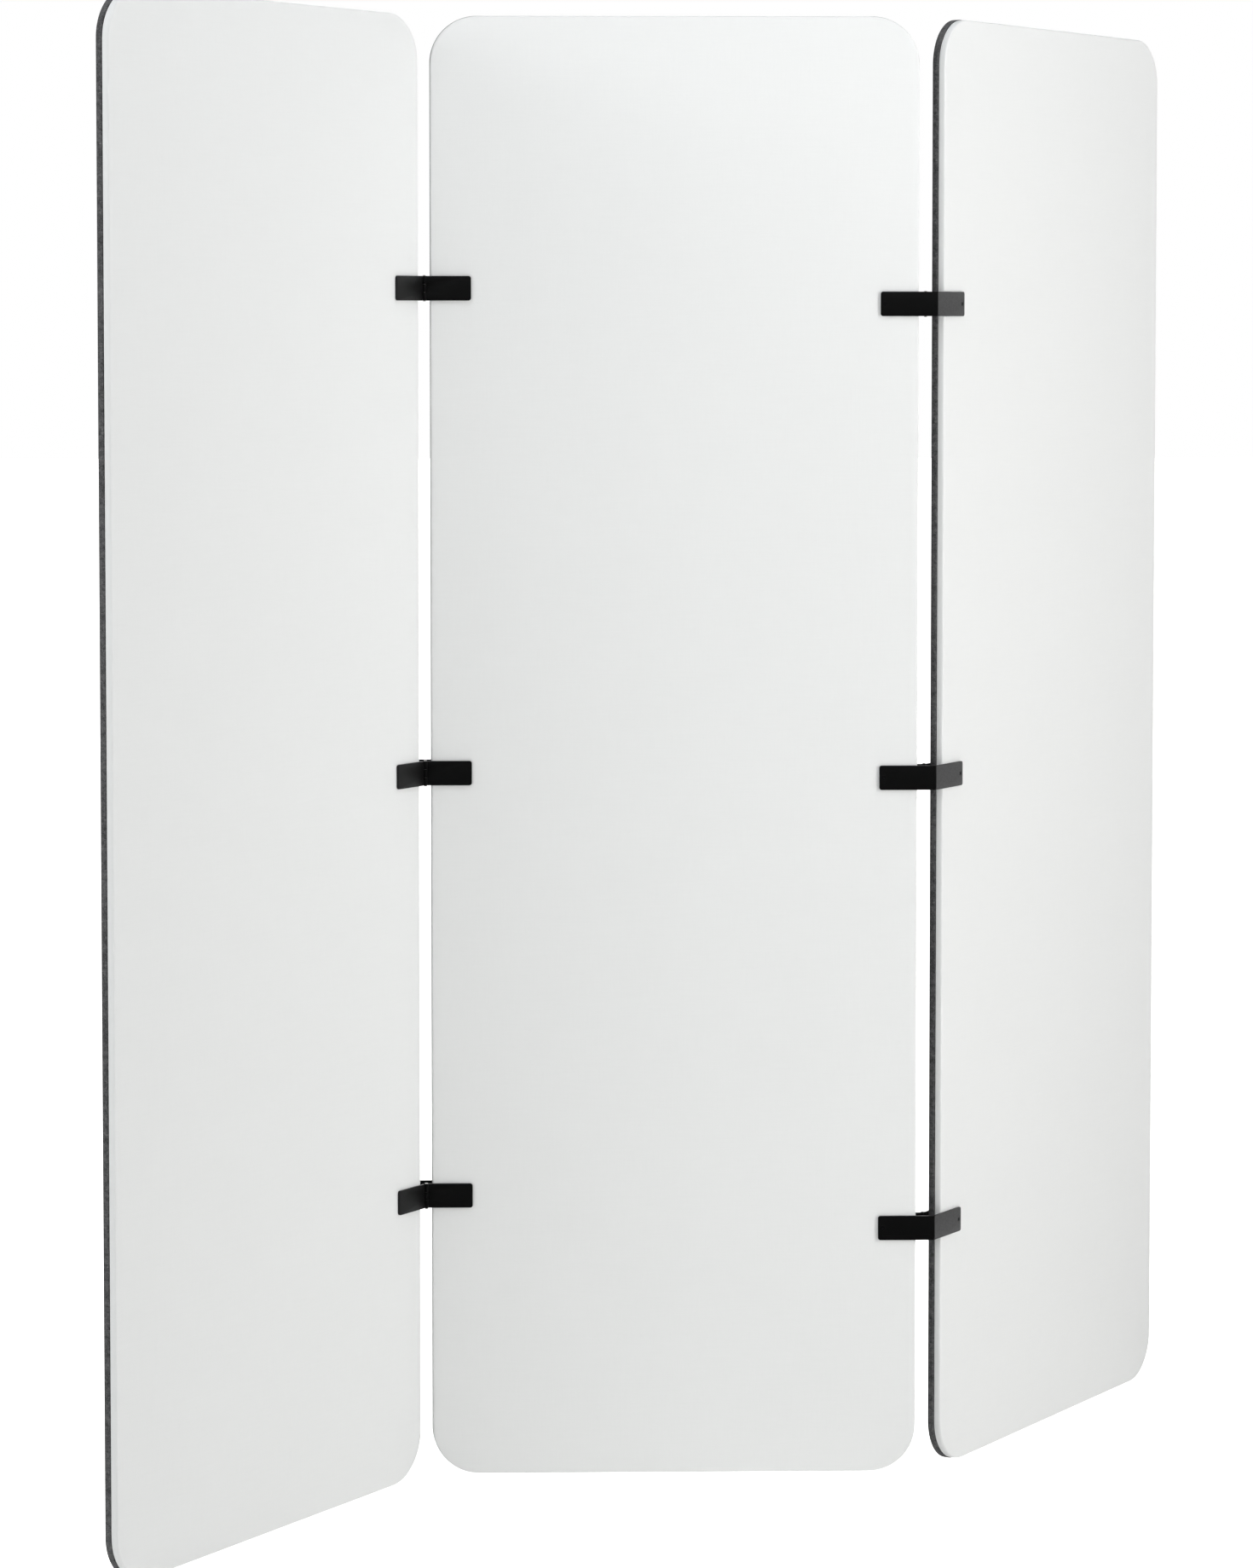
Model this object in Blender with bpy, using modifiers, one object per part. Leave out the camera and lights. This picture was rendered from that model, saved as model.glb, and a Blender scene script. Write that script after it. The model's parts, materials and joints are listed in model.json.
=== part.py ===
"""Three-panel folding screen that stands in a Z: the left wing folds in front, the right wing behind.

Units are metres and +Z is up. The centre panel stands on the origin with its front facing -Y. Each
wing turns about a vertical hinge line: three short hinges on the inner side of the fold carry it,
and three pairs of stop plates on the outer side meet edge to edge when the wing is open.
Each hinge is described in a frame of its own: the pin is on its Z axis, +X runs along the centre
panel, -X along a wing that is folded flat, and +Y points to the outer side of the fold.
"""

from math import asin, cos, pi, radians, sin, tan

import bmesh
import bpy
from mathutils import Matrix

MM = 0.001

# Panels
PANEL_WIDTH = 600 * MM
PANEL_HEIGHT = 1800 * MM
CORNER_RADIUS = 58 * MM
FELT_THICKNESS = 8.0 * MM
PAD_THICKNESS = 9.4 * MM
COVER_THICKNESS = 0.8 * MM
COVER_INSET = 0.5 * MM
COVER_EDGE_RADIUS = 2.2 * MM
SEAT_GAP = 0.3 * MM

# Fold
OPEN_FOLD = radians(56.4)
PIVOT_SETBACK = {"left": 6.5 * MM, "right": 9.5 * MM}
PIVOT_PROUD = 0.55 * MM

# Steel leaves and stop plates
LEAF_THICKNESS = 2.5 * MM
LEAF_HEIGHT = 30 * MM
LEAF_REACH = 57 * MM
LEAF_CORNER = 3 * MM
STOP_BEND_INNER_RADIUS = 0.5 * MM
STOP_GAP = 0.4 * MM

# Knuckles and pin
KNUCKLE_WALL = 1.1 * MM
KNUCKLE_GAP = 0.3 * MM
KNUCKLE_CLEARANCE = 0.4 * MM
KNUCKLE_TANGENT = radians(68)
PIN_RADIUS = 1.2 * MM
PIN_CLEARANCE = 0.1 * MM
PIN_HEAD_RIM = 0.8 * MM
PIN_HEAD_HEIGHT = 0.8 * MM

# Screws, and the threaded bosses that they pull on
SCREW_FROM_END = 5.5 * MM
BOSS_WALL = 1.35 * MM
BOSS_HOLE_CLEARANCE = 0.3 * MM
SCREW_RADIUS = 1.5 * MM
SCREW_CLEARANCE = 0.15 * MM
SCREW_HEAD_RADIUS = 2.75 * MM
SCREW_HEAD_DEPTH = 1.5 * MM
SCREW_LENGTH = 13 * MM
SOCKET_RADIUS = 1.15 * MM
SOCKET_DEPTH = 1.0 * MM
BORE_SPARE_DEPTH = 1.5 * MM

# Places of the hinges on each side: above the floor, above mid-height and below the top edge
HINGE_PLACES = {
    "left": {"bottom": 349 * MM, "middle": -27 * MM, "top": 332 * MM},
    "right": {"bottom": 306 * MM, "middle": -34 * MM, "top": 351 * MM},
}

# Facets
CORNER_SEGMENTS = 8
EDGE_SEGMENTS = 2
LEAF_CORNER_SEGMENTS = 3
ROUND_SIDES = 12
BEND_SEGMENTS = 3
BARREL_SEGMENTS = 9

PANEL_THICKNESS = FELT_THICKNESS + SEAT_GAP + PAD_THICKNESS
LEAF_INNER = PANEL_THICKNESS / 2 + SEAT_GAP
LEAF_OUTER = LEAF_INNER + LEAF_THICKNESS
PIVOT_OFFSET = LEAF_OUTER + PIVOT_PROUD
KNUCKLE_HEIGHT = (LEAF_HEIGHT - 2 * KNUCKLE_GAP) / 3
KNUCKLE_RADIUS = PIN_RADIUS + PIN_CLEARANCE + KNUCKLE_WALL
PIN_HEAD_RADIUS = PIN_RADIUS + PIN_HEAD_RIM
BOSS_RADIUS = SCREW_RADIUS + SCREW_CLEARANCE + BOSS_WALL
SCREW_FROM_PIVOT = LEAF_REACH - SCREW_FROM_END
ALONG_Y = Matrix.Rotation(-pi / 2, 4, "X")
WING_SIDE = Matrix.Scale(-1, 4, (1, 0, 0))


def clear_scene():
    for old in list(bpy.data.objects):
        bpy.data.objects.remove(old)


def new_collection(name):
    collection = bpy.data.collections.new(name)
    bpy.context.scene.collection.children.link(collection)
    return collection


def new_material(name, colour, roughness, metallic=0.0):
    material = bpy.data.materials.new(name)
    material.use_nodes = True
    shader = material.node_tree.nodes["Principled BSDF"]
    shader.inputs["Base Color"].default_value = (*colour, 1)
    shader.inputs["Roughness"].default_value = roughness
    shader.inputs["Metallic"].default_value = metallic
    return material


def finish_mesh(shape, name):
    """Turns a bmesh into a mesh whose faces point out."""
    bmesh.ops.recalc_face_normals(shape, faces=shape.faces)
    mesh = bpy.data.meshes.new(name)
    shape.to_mesh(mesh)
    shape.free()
    return mesh


def place(name, mesh, collection, material=None, parent=None, location=(0, 0, 0), turn=0.0):
    placed = bpy.data.objects.new(name, mesh)
    if material and not mesh.materials:
        mesh.materials.append(material)
    placed.parent = parent
    placed.location = location
    placed.rotation_euler.z = turn
    collection.objects.link(placed)
    return placed


def place_cutter(name, mesh, parent=None, location=(0, 0, 0), turn=0.0):
    cutter = place(name, mesh, cutters, parent=parent, location=location, turn=turn)
    cutter.hide_render = True
    cutter.display_type = "WIRE"
    return cutter


def add_boolean(piece, cutter, operation="DIFFERENCE"):
    boolean = piece.modifiers.new(cutter.name, "BOOLEAN")
    boolean.operation = operation
    boolean.object = cutter


def applied(piece):
    """The mesh of a working shape with its modifiers applied. The shape itself is removed."""
    bpy.context.view_layer.update()
    graph = bpy.context.evaluated_depsgraph_get()
    mesh = bpy.data.meshes.new_from_object(piece.evaluated_get(graph))
    mesh.name = piece.name
    mesh.materials.clear()
    mesh.shade_smooth()
    mesh.set_sharp_from_angle(angle=radians(35))
    bpy.data.objects.remove(piece)
    return mesh


def box(low, high):
    """A bmesh box between two corners."""
    shape = bmesh.new()
    bmesh.ops.create_cube(shape, size=1)
    bmesh.ops.scale(shape, vec=[b - a for a, b in zip(low, high)], verts=shape.verts)
    bmesh.ops.translate(shape, vec=[(a + b) / 2 for a, b in zip(low, high)], verts=shape.verts)
    return shape


def add_rod(shape, start, end, radius, end_radius=None, x=0.0, z=0.0, along=ALONG_Y):
    """Adds a closed cylinder or cone from start to end on an axis through x and z."""
    placing = Matrix.Translation((x, 0, z)) @ along @ Matrix.Translation((0, 0, (start + end) / 2))
    far_radius = radius if end_radius is None else end_radius
    bmesh.ops.create_cone(
        shape, cap_ends=True, segments=ROUND_SIDES, radius1=radius, radius2=far_radius,
        depth=end - start, matrix=placing,
    )


def extruded(outline, low, high):
    """A bmesh prism that runs up from z = low to z = high on a flat outline."""
    shape = bmesh.new()
    face = shape.faces.new([shape.verts.new((x, y, low)) for x, y in outline])
    raised = bmesh.ops.extrude_face_region(shape, geom=[face])["geom"]
    tops = [item for item in raised if isinstance(item, bmesh.types.BMVert)]
    bmesh.ops.translate(shape, vec=(0, 0, high - low), verts=tops)
    return shape


def arc(centre_x, centre_y, radius, start, end, segments):
    angles = [start + (end - start) * step / segments for step in range(segments + 1)]
    return [(centre_x + radius * cos(angle), centre_y + radius * sin(angle)) for angle in angles]


def round_upright_corners(shape, far_x, radius, segments):
    """Rounds the corners of a flat plate at its far end, seen from the front."""
    corners = [
        edge for edge in shape.edges
        if all(abs(vert.co.x - far_x) < 1e-6 for vert in edge.verts)
        and abs(edge.verts[0].co.z - edge.verts[1].co.z) < 1e-6
    ]
    bmesh.ops.bevel(shape, geom=corners, offset=radius, segments=segments, profile=0.5, affect="EDGES")


def rounded_board(name, inset, front, back, edge_radius=0.0, open_back=False):
    """An upright board in the panel's outline, drawn in by inset, with its front edge rounded."""
    half = PANEL_WIDTH / 2 - inset
    shape = box((-half, front, inset), (half, back, PANEL_HEIGHT - inset))
    corners = [edge for edge in shape.edges if abs(edge.verts[0].co.y - edge.verts[1].co.y) > 1e-6]
    bmesh.ops.bevel(
        shape, geom=corners, offset=CORNER_RADIUS - inset, segments=CORNER_SEGMENTS,
        profile=0.5, affect="EDGES",
    )
    if edge_radius:
        rim = [edge for edge in shape.edges if all(abs(v.co.y - front) < 1e-6 for v in edge.verts)]
        bmesh.ops.bevel(
            shape, geom=rim, offset=edge_radius, segments=EDGE_SEGMENTS, profile=0.5, affect="EDGES",
        )
    if open_back:
        rear = [face for face in shape.faces if all(abs(v.co.y - back) < 1e-6 for v in face.verts)]
        bmesh.ops.delete(shape, geom=rear, context="FACES_ONLY")
    return finish_mesh(shape, name)


def boss_holes_mesh(name, marks):
    """Cutters for the boss holes of one panel, at (x, z) marks on its face."""
    shape = bmesh.new()
    radius = BOSS_RADIUS + BOSS_HOLE_CLEARANCE
    for x, z in marks:
        add_rod(shape, -PANEL_THICKNESS, PANEL_THICKNESS, radius, x=x, z=z)
    return finish_mesh(shape, name)


def add_panel(side, marks, parent=None, location=(0, 0, 0), turn=0.0):
    """Felt board at the back, fibre pad in front of it, and the white cover that wraps the pad."""
    half = PANEL_THICKNESS / 2
    felt_front = half - FELT_THICKNESS
    pad_back = felt_front - SEAT_GAP
    cover_inside = COVER_THICKNESS + SEAT_GAP
    felt = rounded_board(f"{side}_felt", 0.0, felt_front, half)
    cover = rounded_board(
        f"{side}_cover", COVER_INSET, -half, pad_back, edge_radius=COVER_EDGE_RADIUS, open_back=True,
    )
    core = rounded_board(
        f"{side}_core", COVER_INSET + cover_inside, -half + cover_inside, pad_back,
        edge_radius=COVER_EDGE_RADIUS - cover_inside,
    )
    where = {"parent": parent, "location": location, "turn": turn}
    holes = place_cutter(f"{side}_boss_holes", boss_holes_mesh(f"{side}_boss_holes", marks), **where)
    pieces = {
        "felt_board": place(f"{side}_panel_felt_board", felt, parts, felt_grey, **where),
        "pad_core": place(f"{side}_panel_pad_core", core, parts, pad_fibre, **where),
        "fabric_cover": place(f"{side}_panel_fabric_cover", cover, parts, fabric_white, **where),
    }
    shell = pieces["fabric_cover"].modifiers.new("Wall", "SOLIDIFY")
    shell.thickness = COVER_THICKNESS
    shell.offset = -1
    shell.use_even_offset = True
    for piece in pieces.values():
        add_boolean(piece, holes)


def knuckle_leaf_mesh(name, on_wing):
    """Flat leaf rolled into knuckles at the pin, with a threaded boss that crosses the panel."""
    leaf_outer = PIVOT_OFFSET - LEAF_OUTER
    leaf_inner = PIVOT_OFFSET - LEAF_INNER
    clear_radius = KNUCKLE_RADIUS + KNUCKLE_CLEARANCE
    half_height = LEAF_HEIGHT / 2
    half_knuckle = KNUCKLE_HEIGHT / 2
    barrel = arc(0, 0, KNUCKLE_RADIUS, asin(leaf_outer / KNUCKLE_RADIUS), KNUCKLE_TANGENT - 2 * pi,
                 BARREL_SEGMENTS)
    outline = [(LEAF_REACH, leaf_outer), *barrel, (clear_radius, leaf_inner), (LEAF_REACH, leaf_inner)]
    plate = extruded(outline, -half_height, half_height)
    round_upright_corners(plate, LEAF_REACH, LEAF_CORNER, LEAF_CORNER_SEGMENTS)
    leaf = place(name, finish_mesh(plate, name), cutters)

    boss = bmesh.new()
    boss_end = PIVOT_OFFSET + LEAF_INNER - SEAT_GAP
    boss_root = (leaf_outer + leaf_inner) / 2
    add_rod(boss, boss_root, boss_end, BOSS_RADIUS, x=SCREW_FROM_PIVOT)
    add_boolean(leaf, place_cutter("Boss", finish_mesh(boss, "boss")), "UNION")

    bores = bmesh.new()
    head_plane = PIVOT_OFFSET + LEAF_OUTER
    bore_end = head_plane - SCREW_LENGTH - BORE_SPARE_DEPTH
    add_rod(bores, bore_end, head_plane, SCREW_RADIUS + SCREW_CLEARANCE, x=SCREW_FROM_PIVOT)
    add_rod(bores, -LEAF_HEIGHT, LEAF_HEIGHT, PIN_RADIUS + PIN_CLEARANCE, along=Matrix())
    add_boolean(leaf, place_cutter("Bores", finish_mesh(bores, "bores")))

    gap_edge = half_knuckle + KNUCKLE_GAP
    spans = [(-LEAF_HEIGHT, -half_knuckle), (half_knuckle, LEAF_HEIGHT)] if on_wing else [
        (-gap_edge, gap_edge)]
    for low, high in spans:
        notch = box((-clear_radius, -clear_radius, low), (clear_radius, 2 * clear_radius, high))
        add_boolean(leaf, place_cutter("Notch", finish_mesh(notch, "notch")))
    return applied(leaf)


def stop_plate_mesh(name):
    """Flat plate on the outer side of the fold, curved through half of the open fold at its tip."""
    outer = PIVOT_OFFSET + LEAF_OUTER
    inner = PIVOT_OFFSET + LEAF_INNER
    half_fold = OPEN_FOLD / 2
    outer_radius = STOP_BEND_INNER_RADIUS + LEAF_THICKNESS
    bend_y = outer - outer_radius
    bend_x = STOP_GAP / 2 / cos(half_fold) - bend_y * tan(half_fold)
    tip = arc(bend_x, bend_y, outer_radius, pi / 2, pi / 2 + half_fold, BEND_SEGMENTS)
    tip += arc(bend_x, bend_y, STOP_BEND_INNER_RADIUS, pi / 2 + half_fold, pi / 2, BEND_SEGMENTS)
    shape = extruded([(LEAF_REACH, outer), *tip, (LEAF_REACH, inner)], -LEAF_HEIGHT / 2, LEAF_HEIGHT / 2)
    round_upright_corners(shape, LEAF_REACH, LEAF_CORNER, LEAF_CORNER_SEGMENTS)
    plate = place(name, finish_mesh(shape, name), cutters)

    hole = bmesh.new()
    add_rod(hole, inner - LEAF_THICKNESS, outer, SCREW_RADIUS + SCREW_CLEARANCE, x=SCREW_FROM_PIVOT)
    add_boolean(plate, place_cutter("Clearance hole", finish_mesh(hole, "clearance_hole")))
    sink = bmesh.new()
    beyond = SCREW_HEAD_DEPTH / 2
    flare = (SCREW_HEAD_RADIUS - SCREW_RADIUS) / 2
    add_rod(
        sink, outer - SCREW_HEAD_DEPTH - beyond, outer + beyond,
        SCREW_RADIUS + SCREW_CLEARANCE - flare, SCREW_HEAD_RADIUS + SCREW_CLEARANCE + flare,
        x=SCREW_FROM_PIVOT,
    )
    add_boolean(plate, place_cutter("Countersink", finish_mesh(sink, "countersink")))
    return applied(plate)


def screw_mesh(name):
    """Countersunk machine screw whose head lies flush in the stop plate, with a hexagon socket."""
    head_plane = PIVOT_OFFSET + LEAF_OUTER
    neck = head_plane - SCREW_HEAD_DEPTH
    shape = bmesh.new()
    add_rod(shape, neck, head_plane, SCREW_RADIUS, SCREW_HEAD_RADIUS, x=SCREW_FROM_PIVOT)
    screw = place(name, finish_mesh(shape, name), cutters)
    shank = bmesh.new()
    overlap = SCREW_HEAD_DEPTH / 4
    add_rod(shank, head_plane - SCREW_LENGTH, neck + overlap, SCREW_RADIUS, x=SCREW_FROM_PIVOT)
    add_boolean(screw, place_cutter("Shank", finish_mesh(shank, "shank")), "UNION")
    socket = bmesh.new()
    reach = Matrix.Translation((SCREW_FROM_PIVOT, head_plane, 0)) @ ALONG_Y
    bmesh.ops.create_cone(
        socket, cap_ends=True, segments=6, radius1=SOCKET_RADIUS, radius2=SOCKET_RADIUS,
        depth=2 * SOCKET_DEPTH, matrix=reach,
    )
    add_boolean(screw, place_cutter("Socket", finish_mesh(socket, "socket")))
    return applied(screw)


def pin_mesh(name):
    """Hinge pin with a low head beyond the end knuckles, turned from a half profile."""
    head_low = LEAF_HEIGHT / 2 + KNUCKLE_GAP
    head_high = head_low + PIN_HEAD_HEIGHT
    dome = PIN_HEAD_HEIGHT / 2
    upper = [(0, head_high), (PIN_HEAD_RADIUS - dome, head_high), (PIN_HEAD_RADIUS, head_high - dome),
             (PIN_HEAD_RADIUS, head_low), (PIN_RADIUS, head_low)]
    profile = upper + [(radius, -height) for radius, height in reversed(upper)]
    shape = bmesh.new()
    points = [shape.verts.new((radius, 0, height)) for radius, height in profile]
    for first, second in zip(points, points[1:]):
        shape.edges.new((first, second))
    mesh = bpy.data.meshes.new(name)
    shape.to_mesh(mesh)
    shape.free()
    pin = place(name, mesh, cutters)
    turning = pin.modifiers.new("Turned", "SCREW")
    turning.steps = ROUND_SIDES
    turning.render_steps = ROUND_SIDES
    turning.use_merge_vertices = True
    turning.merge_threshold = 0.00001
    return applied(pin)


def mirrored(mesh, name):
    """The same piece for the other side of the fold."""
    shape = bmesh.new()
    shape.from_mesh(mesh)
    bmesh.ops.transform(shape, matrix=WING_SIDE, verts=shape.verts)
    bmesh.ops.reverse_faces(shape, faces=shape.faces)
    copy = bpy.data.meshes.new(name)
    shape.to_mesh(copy)
    shape.free()
    return copy


def add_hinge(side, level, height, base, swing, meshes):
    """One hinge: a pin, two knuckle leaves, two stop plates and two screws."""
    name = f"{side}_{level}"
    fixed = {"parent": base, "location": (0, 0, height)}
    swinging = {"parent": swing, "location": (0, 0, height)}
    place(f"{name}_hinge_leaf_centre", meshes["leaf_centre"], parts, steel_black, **fixed)
    place(f"{name}_hinge_leaf_wing", meshes["leaf_wing"], parts, steel_black, **swinging)
    place(f"{name}_hinge_pin", meshes["pin"], parts, pin_steel, **fixed)
    place(f"{name}_stop_plate_centre", meshes["stop_centre"], parts, steel_black, **fixed)
    place(f"{name}_stop_plate_wing", meshes["stop_wing"], parts, steel_black, **swinging)
    place(f"{name}_screw_centre", meshes["screw_centre"], parts, screw_black, **fixed)
    place(f"{name}_screw_wing", meshes["screw_wing"], parts, screw_black, **swinging)


def add_pivot(name, x, y, turn):
    pivot = bpy.data.objects.new(name, None)
    pivot.location = (x, y, 0)
    pivot.rotation_euler.z = turn
    parts.objects.link(pivot)
    return pivot


def hinge_heights(side):
    places = HINGE_PLACES[side]
    return {
        "bottom": places["bottom"],
        "middle": PANEL_HEIGHT / 2 + places["middle"],
        "top": PANEL_HEIGHT - places["top"],
    }


clear_scene()
parts = new_collection("folding_screen")
cutters = new_collection("cutters")
felt_grey = new_material("felt_grey", (0.075, 0.075, 0.08), 0.95)
pad_fibre = new_material("pad_fibre", (0.55, 0.53, 0.48), 0.9)
fabric_white = new_material("fabric_white", (0.86, 0.86, 0.85), 0.85)
steel_black = new_material("steel_black", (0.012, 0.012, 0.013), 0.45, 0.0)
pin_steel = new_material("pin_steel", (0.35, 0.35, 0.36), 0.35, 1.0)
screw_black = new_material("screw_black", (0.03, 0.03, 0.032), 0.4, 0.8)

leaf_centre = knuckle_leaf_mesh("leaf_centre", on_wing=False)
leaf_wing = knuckle_leaf_mesh("leaf_wing", on_wing=True)
stop_centre = stop_plate_mesh("stop_centre")
screw_centre = screw_mesh("screw_centre")
hinge_meshes = {
    "leaf_centre": leaf_centre,
    "leaf_wing": mirrored(leaf_wing, "leaf_wing_mirrored"),
    "pin": pin_mesh("pin"),
    "stop_centre": stop_centre,
    "stop_wing": mirrored(stop_centre, "stop_wing"),
    "screw_centre": screw_centre,
    "screw_wing": mirrored(screw_centre, "screw_wing"),
}

centre_marks = []
for side, sign, frame_turn in (("left", -1, 0.0), ("right", 1, pi)):
    pivot_x = PANEL_WIDTH / 2 + PIVOT_SETBACK[side]
    screw_x = pivot_x - SCREW_FROM_PIVOT
    heights = hinge_heights(side)
    centre_marks += [(sign * screw_x, z) for z in heights.values()]
    wing_marks = [(-sign * screw_x, z) for z in heights.values()]
    wing_place = (-pivot_x, PIVOT_OFFSET, 0)
    where = (sign * pivot_x, sign * PIVOT_OFFSET)
    hinge_base = add_pivot(f"{side}_hinge_base", *where, frame_turn)
    wing_pivot = add_pivot(f"{side}_wing_pivot", *where, frame_turn + OPEN_FOLD)
    add_panel(side, wing_marks, parent=wing_pivot, location=wing_place, turn=frame_turn)
    for level, height in heights.items():
        add_hinge(side, level, height, hinge_base, wing_pivot, hinge_meshes)
add_panel("centre", centre_marks)
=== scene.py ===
import json
from math import asin, cos, pi, radians, sin, sqrt, tan

import bmesh
import bpy
from mathutils import Matrix, Vector


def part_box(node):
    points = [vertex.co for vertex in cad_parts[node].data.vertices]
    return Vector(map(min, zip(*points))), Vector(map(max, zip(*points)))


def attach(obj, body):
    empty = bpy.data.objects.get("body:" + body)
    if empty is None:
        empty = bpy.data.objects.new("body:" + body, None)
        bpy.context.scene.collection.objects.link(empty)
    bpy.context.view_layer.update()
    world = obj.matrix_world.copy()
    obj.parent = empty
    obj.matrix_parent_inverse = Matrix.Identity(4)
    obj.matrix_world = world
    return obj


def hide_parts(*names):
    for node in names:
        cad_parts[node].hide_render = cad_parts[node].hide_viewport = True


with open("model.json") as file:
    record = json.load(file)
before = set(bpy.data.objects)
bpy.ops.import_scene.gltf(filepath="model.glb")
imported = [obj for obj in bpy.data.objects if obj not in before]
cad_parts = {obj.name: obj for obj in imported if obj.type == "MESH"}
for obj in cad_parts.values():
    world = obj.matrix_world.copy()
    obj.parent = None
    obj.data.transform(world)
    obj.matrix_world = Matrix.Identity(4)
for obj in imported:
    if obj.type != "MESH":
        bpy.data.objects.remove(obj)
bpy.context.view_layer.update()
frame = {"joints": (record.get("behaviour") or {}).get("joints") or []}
mm = 0.001
print("frame loaded")

# Where each panel stands. A wing is the flat screen turned by the open fold at its own hinge line.
foldJoints = {joint["child"]: joint for joint in frame["joints"]}
openFold = pi - radians(foldJoints["left_wing"]["range_deg"][1])
sides = {"left": -1, "right": 1}
pivots = {side: Vector(foldJoints[side + "_wing"]["pos_m"]) for side in sides}
panelBody = {"centre": "centre_panel", "left": "left_wing", "right": "right_wing"}


def panelPlace(panel):
    if panel == "centre":
        return Matrix()
    pivot = pivots[panel]
    toPin, fromPin = Matrix.Translation((pivot.x, -pivot.y, 0)), Matrix.Translation(pivot)
    return fromPin @ Matrix.Rotation(openFold, 4, "Z") @ toPin


def hingePlace(side, swings, height):
    # hinge frame: pin on Z, +X along the centre panel, +Y to the outer side of the fold
    turn = (0 if side == "left" else pi) + (openFold if swings else 0)
    return Matrix.Translation((pivots[side].x, pivots[side].y, height)) @ Matrix.Rotation(turn, 4, "Z")


def midHeight(node):
    low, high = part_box(node)
    return (low.z + high.z) / 2


levels = ("bottom", "middle", "top")
heights = {(side, level): midHeight(f"{side}_{level}_hinge_pin") for side in sides for level in levels}
feltLow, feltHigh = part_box("centre_panel_felt_board")
coverLow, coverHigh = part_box("centre_panel_fabric_cover")


def newMaterial(name):
    material = bpy.data.materials.new(name)
    material.use_nodes = True
    tree = material.node_tree
    return material, tree, tree.nodes["Principled BSDF"]


def addNode(tree, kind, inputs=None, **settings):
    node = tree.nodes.new(kind)
    for key, value in settings.items():
        setattr(node, key, value)
    for key, value in (inputs or {}).items():
        if isinstance(value, bpy.types.NodeSocket):
            tree.links.new(value, node.inputs[key])
        else:
            node.inputs[key].default_value = value
    return node


def addMath(tree, operation, first, second=None, third=None):
    inputs = {0: first}
    if second is not None:
        inputs[1] = second
    if third is not None:
        inputs[2] = third
    return addNode(tree, "ShaderNodeMath", inputs, operation=operation).outputs[0]


def stretched(tree, scale):
    place = addNode(tree, "ShaderNodeTexCoord").outputs["Object"]
    return addNode(tree, "ShaderNodeMapping", {"Vector": place, "Scale": scale}).outputs[0]


def noiseValue(tree, scale, detail=2.0, rough=0.5, stretch=(1, 1, 1)):
    return addNode(tree, "ShaderNodeTexNoise", {
        "Vector": stretched(tree, stretch), "Scale": scale, "Detail": detail, "Roughness": rough,
    }).outputs["Fac"]


def ramp(tree, value, low, high, lowColour, highColour):
    node = addNode(tree, "ShaderNodeValToRGB", {"Fac": value})
    node.color_ramp.elements[0].position = low
    node.color_ramp.elements[1].position = high
    node.color_ramp.elements[0].color = (*lowColour, 1)
    node.color_ramp.elements[1].color = (*highColour, 1)
    return node.outputs["Color"]


def rangeValue(tree, value, low, high, toLow, toHigh):
    return addNode(tree, "ShaderNodeMapRange", {
        "Value": value, "From Min": low, "From Max": high, "To Min": toLow, "To Max": toHigh,
    }).outputs["Result"]


def bumped(tree, height, strength, distance, normal=None):
    inputs = {"Height": height, "Strength": strength, "Distance": distance}
    if normal:
        inputs["Normal"] = normal
    return addNode(tree, "ShaderNodeBump", inputs).outputs["Normal"]


wovenFabric = {
    "threadPitch": 0.8 * mm, "colour": (0.868, 0.873, 0.868), "shade": (0.848, 0.853, 0.848),
    "roughness": (0.78, 0.9), "weaveDepth": 0.12 * mm, "threadWander": 0.6 * mm, "slubDepth": 0.1 * mm,
    "specular": 0.25, "sheen": 0.12, "sheenRoughness": 0.5,
}


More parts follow.
